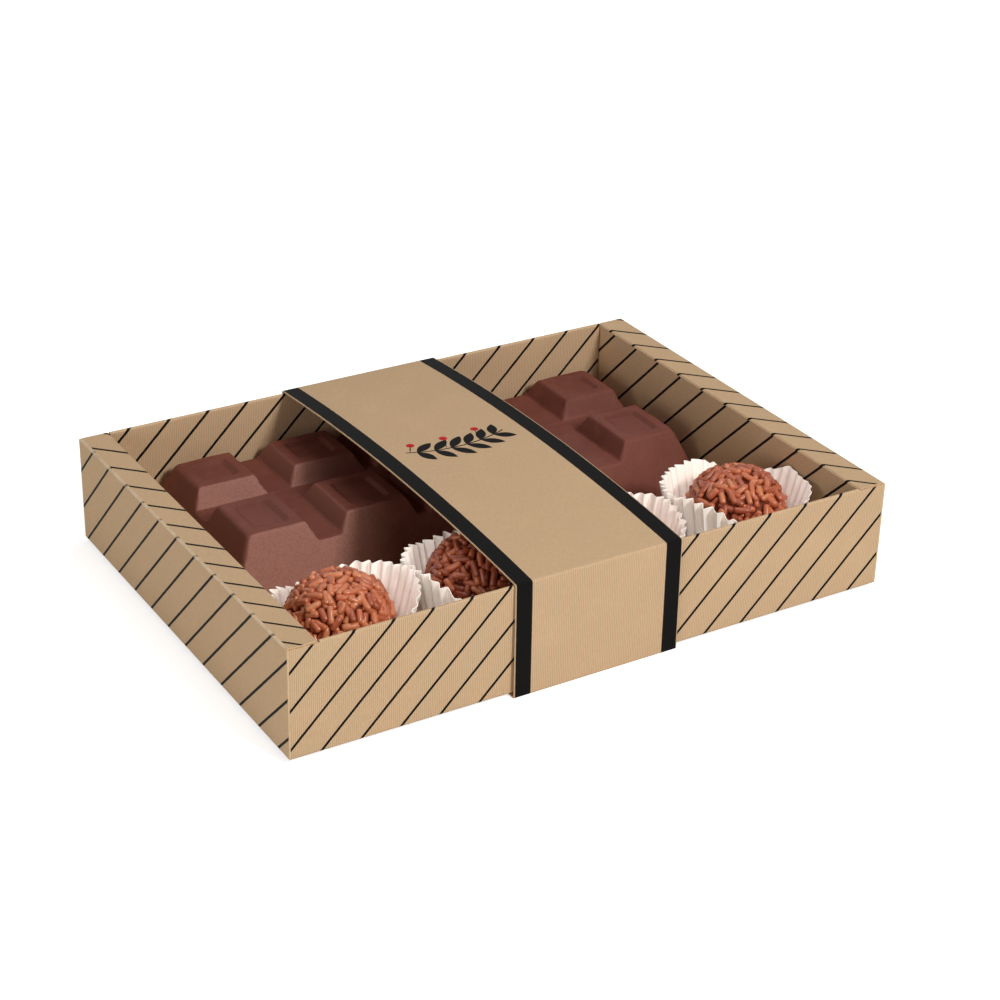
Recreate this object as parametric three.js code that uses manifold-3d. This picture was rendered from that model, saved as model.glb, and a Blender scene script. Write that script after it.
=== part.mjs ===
// Open gift tray for a chocolate bar and a row of sweets, held by a belly band.
// Millimetres, +Z up, +X along the row of sweets. The origin is on the table, under the middle of the tray.
import * as THREE from 'three';
import { mergeVertices } from 'three/addons/utils/BufferGeometryUtils.js';
import Module from 'manifold-3d';

const wasm = await Module();
wasm.setup();

// Board of the tray
const boardThickness = 0.5;
const insideFold = 0.3; // inside radius of a crease
const layerGap = 0.3; // air between the two layers of a rolled wall
const foldSteps = 4; // facets round a quarter turn of board
const bowSteps = 9; // facets along a bowed run; an odd count keeps its crown level

// Hollow end walls, corner flaps and locking tabs
const ledgeWidth = 9.5; // flat top of an end wall, outside face to inside face
const flapLength = 42; // corner flap, along the end wall
const flapTaper = 6; // how far its free end is drawn in, above and below
const flapPlay = 0.2; // between a flap and the boards round it
const tabWidth = 24;
const tabSpacing = 64; // between the middles of the two tabs of an end wall
const tabPlay = 0.2; // round a tab in its slot

// Belly band
const bandThickness = 0.4;
const bandWidth = 55.6;
const bandOffset = -2.7; // middle of the band, from the middle of the tray
const bandBow = 3.3; // how far its slack top rises between the two upper folds
const bandPlay = 0.25; // between the band and the tray
const bandLap = 20; // glued overlap under the tray
const glueLine = 0.1;

// Sweets and their pleated paper cups
const sweetCount = 4;
const sweetDiameter = 31.2;
const sweetFoot = 0.5; // how much of the ball is flattened where it stands
const sweetHeadroom = 3.2; // from the top of a sweet up to the rim of the tray
const cupPaper = 0.3;
const cupHeight = 24;
const cupTuck = 1.2; // how far the foot of the cup lies inside the ball's outline
const cupFlare = 6.5; // how far its rim lies outside that outline
const cupBow = 0.6; // how far the side bulges past a straight cone at half height
const cupGap = 1.05; // between neighbouring rims
const pleatCount = 38;
const rimPleat = 1; // half depth of a pleat at the rim
const footPleat = 0.15; // half depth of a pleat at the foot
const lastSweetShift = 1.5; // how far the last sweet lies off the middle of its cup

// Chocolate bar
const barLength = 169.6;
const barDepth = 66.65;
const barHeight = 21.2;
const baseDraft = 5.25; // how far the front and the ends lean in, from the base up to the groove floors
const backDraft = 1.4; // the same at the back
const barCorner = 3;
const barShoulder = 0.9; // rounding along the upper edges
// Grooves: the middle of each as a share of the top's size from its middle, and the width of the floor
const columnGrooves = [
  { place: -0.3307, floor: 7.6 },
  { place: -0.1192, floor: 4 },
  { place: 0.0675, floor: 4 },
  { place: 0.299, floor: 17.5 },
];
const rowGrooves = [{ place: 0.0317, floor: 7.2 }];
const grooveDepth = 6;
const grooveLean = 3.2; // sideways run of each groove side and of the blocks' outer sides
const pocketMargin = 3.2; // rim round the sunk top of a block
const pocketDepth = 1;
const pocketLean = 1.2;
const pocketCorner = 2.5;

// Room left round the contents
const barEndGap = 1;
const barBackGap = 0.4;
const fingerGap = 20.15; // between the bar and the cups
const cupFrontGap = 9;

// Sizes of the tray that follow from its contents
const sweetRadius = sweetDiameter / 2;
const sweetHeight = sweetDiameter - sweetFoot;
const cupRimRadius = sweetRadius + cupFlare;
const cupRowLength = sweetCount * (2 * cupRimRadius + cupGap);
const innerLength = Math.max(cupRowLength, barLength + 2 * barEndGap);
const innerDepth = cupFrontGap + 2 * cupRimRadius + fingerGap + barDepth + barBackGap;
const rolledWall = 2 * boardThickness + layerGap;
const trayLength = innerLength + 2 * ledgeWidth;
const trayDepth = innerDepth + 2 * rolledWall;
const trayHeight = boardThickness + cupPaper + sweetHeight + sweetHeadroom;
const trayRise = 2 * bandThickness + glueLine + bandPlay; // band layers under the tray
const foldReach = insideFold + boardThickness; // from a fold's outside face to the end of its curve

// Places of the contents
const cupRowY = -innerDepth / 2 + cupFrontGap + cupRimRadius;
const cupPitch = innerLength / sweetCount;
const barX = innerLength / 2 - barEndGap - barLength / 2;
const barTopShift = (baseDraft - backDraft) / 2; // the middle of the bar's top lies behind that of its base
const barY = innerDepth / 2 - barBackGap - barDepth / 2 + barTopShift;

const kraft = new THREE.MeshStandardMaterial({ color: 0xceab86, roughness: 0.85, metalness: 0 });
const bandKraft = new THREE.MeshStandardMaterial({ color: 0xd3b18b, roughness: 0.85, metalness: 0 });
const chocolate = new THREE.MeshStandardMaterial({ color: 0x6d4137, roughness: 0.5, metalness: 0 });
const sprinkles = new THREE.MeshStandardMaterial({ color: 0xb06a4c, roughness: 0.6, metalness: 0 });
const whitePaper = new THREE.MeshStandardMaterial({ color: 0xe4d6cb, roughness: 0.9, metalness: 0 });

const xAxis = new THREE.Vector3(1, 0, 0);
const yAxis = new THREE.Vector3(0, 1, 0);
const zAxis = new THREE.Vector3(0, 0, 1);
const profileAlongX = new THREE.Matrix4().makeBasis(yAxis, zAxis, xAxis); // drawn in Y and Z
const profileAlongY = new THREE.Matrix4().makeBasis(xAxis, zAxis, yAxis.clone().negate()); // in X and Z

function toSolid(geometry) {
  const bare = geometry.clone();
  bare.deleteAttribute('normal');
  bare.deleteAttribute('uv');
  const merged = mergeVertices(bare);
  const vertProperties = Float32Array.from(merged.attributes.position.array);
  const triVerts = Uint32Array.from(merged.index.array);
  return new wasm.Manifold(new wasm.Mesh({ numProp: 3, vertProperties, triVerts }));
}

function toGeometry(solid) {
  const { vertProperties, triVerts } = solid.getMesh();
  const geometry = new THREE.BufferGeometry();
  geometry.setAttribute('position', new THREE.BufferAttribute(vertProperties, 3));
  geometry.setIndex(new THREE.BufferAttribute(triVerts, 1));
  geometry.computeVertexNormals();
  return geometry;
}

function block(xRange, yRange, zRange) {
  const low = new THREE.Vector3(xRange[0], yRange[0], zRange[0]);
  const high = new THREE.Vector3(xRange[1], yRange[1], zRange[1]);
  const room = new THREE.Box3().setFromPoints([low, high]);
  const size = room.getSize(new THREE.Vector3());
  const middle = room.getCenter(new THREE.Vector3());
  return new THREE.BoxGeometry(size.x, size.y, size.z).translate(middle.x, middle.y, middle.z);
}

// Extrudes a drawn outline to both sides of the middle, along the axis that the matrix gives.
function extrudeCentred(shape, depth, matrix) {
  const geometry = new THREE.ExtrudeGeometry(shape, { depth, bevelEnabled: false });
  return geometry.translate(0, 0, -depth / 2).applyMatrix4(matrix);
}

// Outline of a strip of board that follows a centre line and takes each square corner on a round fold. The
// run that leaves a corner may bow out of the loop, by the height that bows gives for that corner.
function foldedStrip(corners, insideRadii, thickness, bows = {}) {
  const half = thickness / 2;
  const points = corners.map(([a, b]) => new THREE.Vector2(a, b));
  const runs = points.slice(1).map((point, i) => point.clone().sub(points[i]).normalize());
  const left = [];
  const right = [];
  const addSquareEnd = (point, run) => {
    const side = new THREE.Vector2(-run.y, run.x).multiplyScalar(half);
    left.push(point.clone().add(side));
    right.push(point.clone().sub(side));
  };
  const addBow = (start, end, height) => {
    const run = end.clone().sub(start).normalize();
    const side = new THREE.Vector2(-run.y, run.x);
    for (let step = 1; step < bowSteps; step++) {
      const share = step / bowSteps;
      const rise = 4 * height * share * (1 - share);
      const middle = start.clone().lerp(end, share).addScaledVector(side, -rise);
      left.push(middle.clone().addScaledVector(side, half));
      right.push(middle.clone().addScaledVector(side, -half));
    }
  };
  addSquareEnd(points[0], runs[0]);
  for (let i = 1; i < points.length - 1; i++) {
    const arrive = runs[i - 1];
    const leave = runs[i];
    const radius = insideRadii[i - 1] + half;
    const middle = points[i].clone().addScaledVector(arrive, -radius).addScaledVector(leave, radius);
    const turnsLeft = arrive.cross(leave) > 0;
    for (let step = 0; step <= foldSteps; step++) {
      const angle = (Math.PI / 2) * (step / foldSteps);
      const spoke = leave.clone().multiplyScalar(-Math.cos(angle)).addScaledVector(arrive, Math.sin(angle));
      const inner = middle.clone().addScaledVector(spoke, radius - half);
      const outer = middle.clone().addScaledVector(spoke, radius + half);
      left.push(turnsLeft ? inner : outer);
      right.push(turnsLeft ? outer : inner);
    }
    if (bows[i]) {
      const start = points[i].clone().addScaledVector(leave, radius);
      addBow(start, points[i + 1].clone().addScaledVector(leave, -insideRadii[i] - half), bows[i]);
    }
  }
  addSquareEnd(points[points.length - 1], runs[runs.length - 1]);
  const apart = boardThickness / 100;
  const outline = [...left, ...right.reverse()];
  return new THREE.Shape(outline.filter((point, i) => point.distanceTo(outline.at(i - 1)) > apart));
}

// Closed skin over a stack of rings with equal point counts, with a fan over the first ring and the last.
function loft(rings) {
  const count = rings[0].length;
  const first = rings[0];
  const last = rings[rings.length - 1];
  const middleOf = (ring) => {
    const total = ring.reduce((sum, point) => sum.add(point), new THREE.Vector3());
    return total.divideScalar(count);
  };
  const points = [...rings.flat(), middleOf(first), middleOf(last)];
  const firstMiddle = rings.length * count;
  const triangles = [];
  for (let j = 0; j < count; j++) {
    const next = (j + 1) % count;
    triangles.push(firstMiddle, next, j);
    for (let i = 0; i < rings.length - 1; i++) {
      const low = i * count;
      const high = low + count;
      triangles.push(low + j, low + next, high + next, low + j, high + next, high + j);
    }
    const top = (rings.length - 1) * count;
    triangles.push(firstMiddle + 1, top + j, top + next);
  }
  const geometry = new THREE.BufferGeometry().setFromPoints(points);
  geometry.setIndex(triangles);
  geometry.computeVertexNormals();
  return geometry;
}

function roundedRectangle(width, depth, corner, z) {
  const ring = [];
  const cornerSteps = 3;
  for (let quarter = 0; quarter < 4; quarter++) {
    const signX = quarter === 0 || quarter === 3 ? 1 : -1;
    const signY = quarter < 2 ? 1 : -1;
    for (let step = 0; step <= cornerSteps; step++) {
      const angle = (Math.PI / 2) * (quarter + step / cornerSteps);
      const x = signX * (width / 2 - corner) + corner * Math.cos(angle);
      const y = signY * (depth / 2 - corner) + corner * Math.sin(angle);
      ring.push(new THREE.Vector3(x, y, z));
    }
  }
  return ring;
}

// Tray floor with two slots near each end for the tabs of the end walls.
function trayFloor() {
  const halfLength = trayLength / 2 - foldReach;
  const halfDepth = trayDepth / 2 - foldReach;
  let floor = toSolid(block([-halfLength, halfLength], [-halfDepth, halfDepth], [0, boardThickness]));
  const slotInside = innerLength / 2 - tabPlay;
  const slotOutside = innerLength / 2 + boardThickness + tabPlay;
  const slotHalf = tabWidth / 2 + tabPlay;
  for (const end of [-1, 1]) {
    for (const side of [-1, 1]) {
      const y = (side * tabSpacing) / 2;
      const xRange = [end * slotInside, end * slotOutside];
      const through = [-boardThickness, 2 * boardThickness];
      floor = floor.subtract(toSolid(block(xRange, [y - slotHalf, y + slotHalf], through)));
    }
  }
  return toGeometry(floor);
}

// Front or back wall: up from the floor, rolled over the top and down again inside. Only the outer layer
// runs on past the hollow ends, to the corners.
function rolledSideWall(side) {
  const half = boardThickness / 2;
  const outer = trayDepth / 2 - half;
  const inner = outer - boardThickness - layerGap;
  const path = [
    [side * (trayDepth / 2 - foldReach), half],
    [side * outer, half],
    [side * outer, trayHeight - half],
    [side * inner, trayHeight - half],
    [side * inner, boardThickness],
  ];
  const strip = foldedStrip(path, [insideFold, layerGap / 2, layerGap / 2], boardThickness);
  const panelLength = trayLength - 2 * boardThickness;
  let wall = toSolid(extrudeCentred(strip, panelLength, profileAlongX));
  const insideFace = trayDepth / 2 - boardThickness;
  const yRange = [side * insideFace, side * (insideFace - 2 * rolledWall)];
  for (const end of [-1, 1]) {
    const hollowX = [end * (innerLength / 2 - layerGap), end * trayLength];
    const cornerX = [end * (trayLength / 2 - foldReach), end * trayLength];
    wall = wall.subtract(toSolid(block(hollowX, yRange, [boardThickness, 2 * trayHeight])));
    wall = wall.subtract(toSolid(block(cornerX, yRange, [-trayHeight, 2 * trayHeight])));
  }
  return toGeometry(wall);
}

// Hollow end wall: outer wall, flat ledge and inner wall rolled from one strip, locked into the floor by
// tabs.
function hollowEndWall(end) {
  const half = boardThickness / 2;
  const outer = trayLength / 2 - half;
  const inner = innerLength / 2 + half;
  const path = [
    [end * (trayLength / 2 - foldReach), half],
    [end * outer, half],
    [end * outer, trayHeight - half],
    [end * inner, trayHeight - half],
    [end * inner, boardThickness],
  ];
  const strip = foldedStrip(path, [insideFold, insideFold, insideFold], boardThickness);
  let wall = toSolid(extrudeCentred(strip, trayDepth, profileAlongY));
  const insideFace = trayLength / 2 - boardThickness;
  const beyondEnd = [end * insideFace, 0];
  for (const side of [-1, 1]) {
    const yRange = [side * (trayDepth / 2 - boardThickness), side * trayDepth];
    wall = wall.subtract(toSolid(block(beyondEnd, yRange, [-trayHeight, 2 * trayHeight])));
    const tabY = (side * tabSpacing) / 2;
    const tabX = [end * (inner - half), end * (inner + half)];
    const tab = block(tabX, [tabY - tabWidth / 2, tabY + tabWidth / 2], [0, 2 * boardThickness]);
    wall = wall.add(toSolid(tab));
  }
  return toGeometry(wall);
}

// Flap that turns in from the end of a side wall and lies inside the hollow end wall, drawn in at its free
// end.
function cornerFlap(end, side) {
  const low = foldReach + flapPlay;
  const high = trayHeight - foldReach - flapPlay;
  const start = trayDepth / 2 - boardThickness;
  const shape = new THREE.Shape();
  shape.moveTo(side * start, low);
  shape.lineTo(side * (start - flapLength), low + flapTaper);
  shape.lineTo(side * (start - flapLength), high - flapTaper);
  shape.lineTo(side * start, high);
  shape.closePath();
  const x = end * (trayLength / 2 - 1.5 * boardThickness - flapPlay);
  return extrudeCentred(shape, boardThickness, profileAlongX).translate(x, 0, 0);
}

// Band round the tray. Its two ends lap under the tray, where they are glued, and its top is bowed up.
function bellyBand() {
  const half = bandThickness / 2;
  const side = trayDepth / 2 + bandPlay + half;
  const top = trayRise + trayHeight + bandPlay + half;
  const upperLayer = bandThickness + glueLine + half;
  const path = [
    [trayDepth / 2 - bandLap, upperLayer],
    [side, upperLayer],
    [side, top],
    [-side, top],
    [-side, half],
    [trayDepth / 2, half],
  ];
  const topStart = 2; // corner of the path at which the top begins
  const folds = [insideFold, insideFold, insideFold, insideFold];
  const strip = foldedStrip(path, folds, bandThickness, { [topStart]: bandBow });
  return extrudeCentred(strip, bandWidth, profileAlongX).translate(bandOffset, 0, 0);
}

// Ring of a pleated cup: the radius swings in and out by half a pleat from point to point.
function pleatedRing(radius, pleat, z) {
  const ring = [];
  for (let j = 0; j < 2 * pleatCount; j++) {
    const angle = (Math.PI * j) / pleatCount;
    const reach = radius + (j % 2 ? -pleat : pleat);
    ring.push(new THREE.Vector3(reach * Math.cos(angle), reach * Math.sin(angle), z));
  }
  return ring;
}

function paperCup() {
  const footRadius = sweetRadius - cupTuck;
  const rimRadius = cupRimRadius - rimPleat;
  const middleRadius = (footRadius + rimRadius) / 2 + cupBow;
  const middlePleat = (footPleat + rimPleat) / 2;
  return loft([
    pleatedRing(footRadius, footPleat, 0),
    pleatedRing(middleRadius, middlePleat, cupHeight / 2),
    pleatedRing(rimRadius, rimPleat, cupHeight),
    pleatedRing(rimRadius - cupPaper, rimPleat, cupHeight),
    pleatedRing(middleRadius - cupPaper, middlePleat, cupHeight / 2),
    pleatedRing(footRadius - cupPaper, footPleat, cupPaper),
  ]);
}

// Hand-rolled ball, flattened a little where it stands.
function sweetBall() {
  const profile = [new THREE.Vector2(0, 0)];
  const profileSteps = 12;
  const footAngle = Math.acos(1 - sweetFoot / sweetRadius);
  for (let step = 0; step < profileSteps; step++) {
    const angle = footAngle + (Math.PI - footAngle) * (step / profileSteps);
    const height = sweetRadius - sweetFoot - sweetRadius * Math.cos(angle);
    profile.push(new THREE.Vector2(sweetRadius * Math.sin(angle), height));
  }
  profile.push(new THREE.Vector2(0, sweetHeight));
  return new THREE.LatheGeometry(profile, 2 * profileSteps).rotateX(Math.PI / 2);
}

// Cutter for a groove between blocks: flat floor, leaning sides and rounded shoulders, drawn from its floor
// up.
function grooveCutter(floor, length, matrix) {
  const floorHalf = floor / 2;
  const topHalf = floorHalf + grooveLean;
  const down = grooveLean * (barShoulder / grooveDepth); // run of a side over the shoulder's height
  const above = grooveDepth + barShoulder;
  const shape = new THREE.Shape();
  shape.moveTo(-floorHalf, 0);
  shape.lineTo(floorHalf, 0);
  shape.lineTo(topHalf - down, grooveDepth - barShoulder);
  shape.quadraticCurveTo(topHalf, grooveDepth, topHalf + barShoulder, grooveDepth);
  shape.lineTo(topHalf + barShoulder, above);
  shape.lineTo(-topHalf - barShoulder, above);
  shape.lineTo(-topHalf - barShoulder, grooveDepth);
  shape.quadraticCurveTo(-topHalf, grooveDepth, -topHalf + down, grooveDepth - barShoulder);
  shape.closePath();
  const settings = { depth: length, bevelEnabled: false, curveSegments: 3 };
  return new THREE.ExtrudeGeometry(shape, settings).translate(0, 0, -length / 2).applyMatrix4(matrix);
}

// Stretches of the bar's top between its grooves, along one side of the bar.
function blockSpans(topSize, grooves) {
  const edges = [-topSize / 2];
  for (const { place, floor } of grooves) {
    const half = floor / 2 + grooveLean;
    edges.push(place * topSize - half, place * topSize + half);
  }
  edges.push(topSize / 2);
  const spans = [];
  for (let i = 0; i < edges.length; i += 2) {
    spans.push({ middle: (edges[i] + edges[i + 1]) / 2, width: edges[i + 1] - edges[i] });
  }
  return spans;
}

// Moulded bar: a base slab with blocks on it, whose outer sides lean like the sides of the grooves between
// them, and a shallow sunk top on every block. Drawn round the middle of its top.
function chocolateBar() {
  const grooveZ = barHeight - grooveDepth;
  const topLength = barLength - 2 * (baseDraft + grooveLean);
  const topDepth = barDepth - baseDraft - backDraft - 2 * grooveLean;
  const blockRing = (below, drawnIn) => {
    const spread = 2 * (grooveLean * (below / grooveDepth) - drawnIn);
    return roundedRectangle(topLength + spread, topDepth + spread, barCorner, barHeight - below);
  };
  const baseRing = roundedRectangle(barLength, barDepth, barCorner, 0);
  for (const point of baseRing) point.y -= barTopShift;
  let bar = toSolid(loft([
    baseRing,
    blockRing(grooveDepth, 0),
    blockRing(barShoulder, 0),
    blockRing(0.3 * barShoulder, 0.3 * barShoulder),
    blockRing(0, barShoulder),
  ]));
  for (const { place, floor } of columnGrooves) {
    const cutter = grooveCutter(floor, 2 * barDepth, profileAlongY);
    bar = bar.subtract(toSolid(cutter.translate(place * topLength, 0, grooveZ)));
  }
  for (const { place, floor } of rowGrooves) {
    const cutter = grooveCutter(floor, 2 * barLength, profileAlongX);
    bar = bar.subtract(toSolid(cutter.translate(0, place * topDepth, grooveZ)));
  }
  for (const column of blockSpans(topLength, columnGrooves)) {
    for (const row of blockSpans(topDepth, rowGrooves)) {
      const pocketRing = (drawnIn, z) => {
        const margin = 2 * (pocketMargin + drawnIn);
        return roundedRectangle(column.width - margin, row.width - margin, pocketCorner, z);
      };
      const pocket = loft([
        pocketRing(pocketLean, barHeight - pocketDepth),
        pocketRing(0, barHeight),
        pocketRing(0, barHeight + pocketDepth),
      ]);
      bar = bar.subtract(toSolid(pocket.translate(column.middle, row.middle, 0)));
    }
  }
  return toGeometry(bar);
}

function addPiece(group, name, geometry, material) {
  const piece = new THREE.Mesh(geometry, material);
  piece.name = name;
  group.add(piece);
  return piece;
}

const giftBox = new THREE.Group();
addPiece(giftBox, 'belly_band', bellyBand(), bandKraft);

const tray = new THREE.Group();
tray.position.z = trayRise;
giftBox.add(tray);
addPiece(tray, 'tray_floor', trayFloor(), kraft);
for (const [sideName, side] of [['front', -1], ['back', 1]]) {
  addPiece(tray, `${sideName}_wall`, rolledSideWall(side), kraft);
  for (const [endName, end] of [['left', -1], ['right', 1]]) {
    addPiece(tray, `${sideName}_${endName}_corner_flap`, cornerFlap(end, side), kraft);
  }
}
addPiece(tray, 'left_end_wall', hollowEndWall(-1), kraft);
addPiece(tray, 'right_end_wall', hollowEndWall(1), kraft);

const contents = new THREE.Group();
contents.position.z = boardThickness;
tray.add(contents);
addPiece(contents, 'chocolate_bar', chocolateBar(), chocolate).position.set(barX, barY, 0);
for (let number = 1; number <= sweetCount; number++) {
  const place = new THREE.Group();
  place.position.set((number - (sweetCount + 1) / 2) * cupPitch, cupRowY, 0);
  contents.add(place);
  addPiece(place, `paper_cup_${number}`, paperCup(), whitePaper);
  const shift = number === sweetCount ? lastSweetShift : 0;
  addPiece(place, `sweet_${number}`, sweetBall(), sprinkles).position.set(shift, 0, cupPaper);
}

export default giftBox;
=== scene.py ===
# Kraft gift tray with a belly band, a moulded bar and sweets in paper cups, in metres
import math
import random

import bmesh
import bpy
import numpy as np
from mathutils import Matrix, Vector, noise


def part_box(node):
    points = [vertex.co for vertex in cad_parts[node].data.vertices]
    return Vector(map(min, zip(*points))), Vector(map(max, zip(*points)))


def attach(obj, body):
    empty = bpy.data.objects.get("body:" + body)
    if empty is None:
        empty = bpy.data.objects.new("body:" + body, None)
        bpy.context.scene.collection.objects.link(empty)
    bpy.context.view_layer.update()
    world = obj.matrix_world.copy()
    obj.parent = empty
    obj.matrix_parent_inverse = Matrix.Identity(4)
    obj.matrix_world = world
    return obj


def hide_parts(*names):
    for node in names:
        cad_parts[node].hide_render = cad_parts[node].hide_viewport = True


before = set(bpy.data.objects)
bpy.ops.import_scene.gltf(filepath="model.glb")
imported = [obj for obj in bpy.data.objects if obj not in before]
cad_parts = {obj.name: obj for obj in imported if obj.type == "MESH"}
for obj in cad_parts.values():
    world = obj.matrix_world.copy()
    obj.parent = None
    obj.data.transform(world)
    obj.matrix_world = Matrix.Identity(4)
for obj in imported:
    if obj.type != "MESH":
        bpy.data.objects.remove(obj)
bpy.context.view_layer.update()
scene = bpy.context.scene
scene.view_settings.view_transform = "Standard"
mm = 0.001
print("frame:", len(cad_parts), "solids loaded")


def paint(red, green, blue):  # screen values from 0 to 255, as the linear colour that a shader takes
    shares = [value / 255 for value in (red, green, blue)]
    linear = [s / 12.92 if s <= 0.04045 else ((s + 0.055) / 1.055) ** 2.4 for s in shares]
    return (*linear, 1)


class Wire:  # a shader socket that can be summed like a number
    def __init__(self, tree, socket=None):
        self.tree = tree
        self.socket = socket

    def node(self, kind, settings=None, sockets=None, output=0):
        made = self.tree.nodes.new(kind)
        for name, value in (settings or {}).items():
            setattr(made, name, value)
        for name, value in (sockets or {}).items():
            if isinstance(value, Wire):
                self.tree.links.new(value.socket, made.inputs[name])
            else:
                made.inputs[name].default_value = value
        return Wire(self.tree, made.outputs[output])

    def place(self):  # in metres
        return self.node("ShaderNodeTexCoord", {}, {}, "Object")

    def stored(self, name):  # a number that each point of the mesh holds
        return self.node("ShaderNodeAttribute", {"attribute_name": name}, {}, 2)

    def sheetMap(self, name):
        return self.node("ShaderNodeUVMap", {"uv_map": name})

    def maths(self, operation, *values):
        return self.node("ShaderNodeMath", {"operation": operation}, dict(enumerate(values)))

    def __add__(self, other):
        return self.maths("ADD", self, other)

    def __radd__(self, other):
        return self.maths("ADD", other, self)

    def __sub__(self, other):
        return self.maths("SUBTRACT", self, other)

    def __rsub__(self, other):
        return self.maths("SUBTRACT", other, self)

    def __mul__(self, other):
        return self.maths("MULTIPLY", self, other)

    def __rmul__(self, other):
        return self.maths("MULTIPLY", other, self)

    def __truediv__(self, other):
        return self.maths("DIVIDE", self, other)

    def __abs__(self):
        return self.maths("ABSOLUTE", self)

    def rise(self, low, high):  # smooth step from 0 at low to 1 at high
        sockets = {"Value": self, "From Min": low, "From Max": high}
        return self.node("ShaderNodeMapRange", {"interpolation_type": "SMOOTHSTEP"}, sockets)

    def edge(self, soft):  # 1 where this is above zero, with a soft edge
        return self.rise(-soft, soft)

    def sine(self):
        return self.maths("SINE", self)

    def root(self):
        return self.maths("SQRT", self)

    def most(self, other):
        return self.maths("MAXIMUM", self, other)

    def stretched(self, x, y, z=1):  # for a vector
        return self.node("ShaderNodeVectorMath", {"operation": "MULTIPLY"}, {0: self, 1: (x, y, z)})

    def cloud(self, scale, detail=3, roughness=0.5):  # for a vector
        sockets = {"Vector": self, "Scale": scale, "Detail": detail, "Roughness": roughness}
        return self.node("ShaderNodeTexNoise", {}, sockets)

    def axes(self):
        return [self.node("ShaderNodeSeparateXYZ", {}, {0: self}, axis) for axis in range(3)]

    def blend(self, first, second):  # colours, by this wire's share
        return self.node("ShaderNodeMix", {"data_type": "RGBA"}, {0: self, 6: first, 7: second}, 2)

    def bump(self, depth, strength=1.0):
        return self.node("ShaderNodeBump", {}, {"Height": self, "Distance": depth, "Strength": strength})


def newFinish(name, fixed):
    material = bpy.data.materials.new(name)
    material.use_nodes = True
    shader = material.node_tree.nodes["Principled BSDF"]
    for socketName, value in fixed.items():
        shader.inputs[socketName].default_value = value
    return material, Wire(material.node_tree), shader


def feed(shader, **wires):
    for name, wire in wires.items():
        wire.tree.links.new(wire.socket, shader.inputs[name.replace("_", " ")])


def newMesh(name, points, faces):
    mesh = bpy.data.meshes.new(name)
    mesh.from_pydata(points, [], faces)
    return mesh


def addPiece(name, mesh, finishes):
    piece = bpy.data.objects.new(name, mesh)
    scene.collection.objects.link(piece)
    for finish in finishes:
        mesh.materials.append(finish)
    return piece


def overMiddle(low, high, z):  # a point over the middle of a box
    return Vector(((low.x + high.x) / 2, (low.y + high.y) / 2, z))


def smoothUpTo(mesh, sharpAngle):
    mesh.shade_smooth()
    mesh.set_sharp_from_angle(angle=math.radians(sharpAngle))


def settle(piece, sharpAngle):  # keeps the shape that the modifiers give, smooth up to that angle
    depsgraph = bpy.context.evaluated_depsgraph_get()
    shaped = piece.evaluated_get(depsgraph)
    mesh = bpy.data.meshes.new_from_object(shaped, preserve_all_data_layers=True, depsgraph=depsgraph)
    piece.modifiers.clear()
    piece.data = mesh
    smoothUpTo(mesh, sharpAngle)


def join(piece, body, slotName, *nodes):
    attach(piece, body)
    if nodes:
        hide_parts(*nodes)


# Camera at the photograph's angle: it looks at a point on the table plane of the tray
cameraSetup = {
    "azimuth": -31.7035,  # degrees, 0 is from the front
    "elevation": 27.5217,
    "roll": 1.4239,
    "distance": 751.38 * mm,
    "target": (27.34 * mm, 30.96 * mm, 1.15 * mm),
    "focal": 82.908,
    "sensor": 36,
}


def addCamera():
    turn = math.radians(cameraSetup["azimuth"])
    lift = math.radians(cameraSetup["elevation"])
    roll = math.radians(cameraSetup["roll"])
    back = Vector((math.sin(turn) * math.cos(lift), -math.cos(turn) * math.cos(lift), math.sin(lift)))
    right = Vector((math.cos(turn), math.sin(turn), 0))
    up = back.cross(right)
    across = math.cos(roll) * right + math.sin(roll) * up
    upward = math.cos(roll) * up - math.sin(roll) * right
    data = bpy.data.cameras.new("camera")
    data.lens = cameraSetup["focal"]
    data.sensor_width = cameraSetup["sensor"]
    data.clip_start = 0.01
    camera = bpy.data.objects.new("camera", data)
    place = Vector(cameraSetup["target"]) + cameraSetup["distance"] * back
    camera.matrix_world = Matrix((across, upward, back)).transposed().to_4x4()
    camera.matrix_world.translation = place
    scene.collection.objects.link(camera)
    scene.camera = camera


addCamera()
print("camera: placed")

# Kraft board, printed on one side; lengths on the sheet are in millimetres
kraft = {
    "paper": paint(220, 188, 150),
    "shade": paint(203, 168, 129),
    "fleck": paint(150, 117, 84),
    "bright": paint(228, 200, 166),
    "core": paint(233, 213, 185),
    "ink": paint(9, 9, 10),
    "berry": paint(196, 30, 42),
    "ribPitch": 0.605,
    "ribShare": 0.62,
    "lineWidth": 0.095,  # pinstripes, as a share of their pitch
    "edgeStripe": 5.4,  # on both edges of the band
    "bareEdge": 0.22,  # unprinted strip outside the edge stripe
    "thickness": 0.5 * mm,
    "bandThickness": 0.4 * mm,
    "foldInside": 0.3 * mm,
}

# A sprig with berries, printed on the band
sprig = {
    "middle": (-1, 6),  # on top of the band, from its middle
    "length": 34,
    "sag": 3.6,
    "leaves": 6,
    "leafLength": 8.6,
    "leafWidth": 1.6,
    "leafAngle": 48,  # degrees from the stem
    "leafTaper": 0.05,  # how much shorter each leaf is, away from the third
    "stem": 0.55,
    "berries": [(-13.4, 5.6, 1.3), (-2.2, 5.2, 1.3), (9.6, 6.4, 1.3)],
    "stalkReach": 2.4,  # how far behind its berry each stalk leaves the stem
    "stalkWidth": 0.2,
    "softEdge": 0.08,
    "softDot": 0.1,
}


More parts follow.
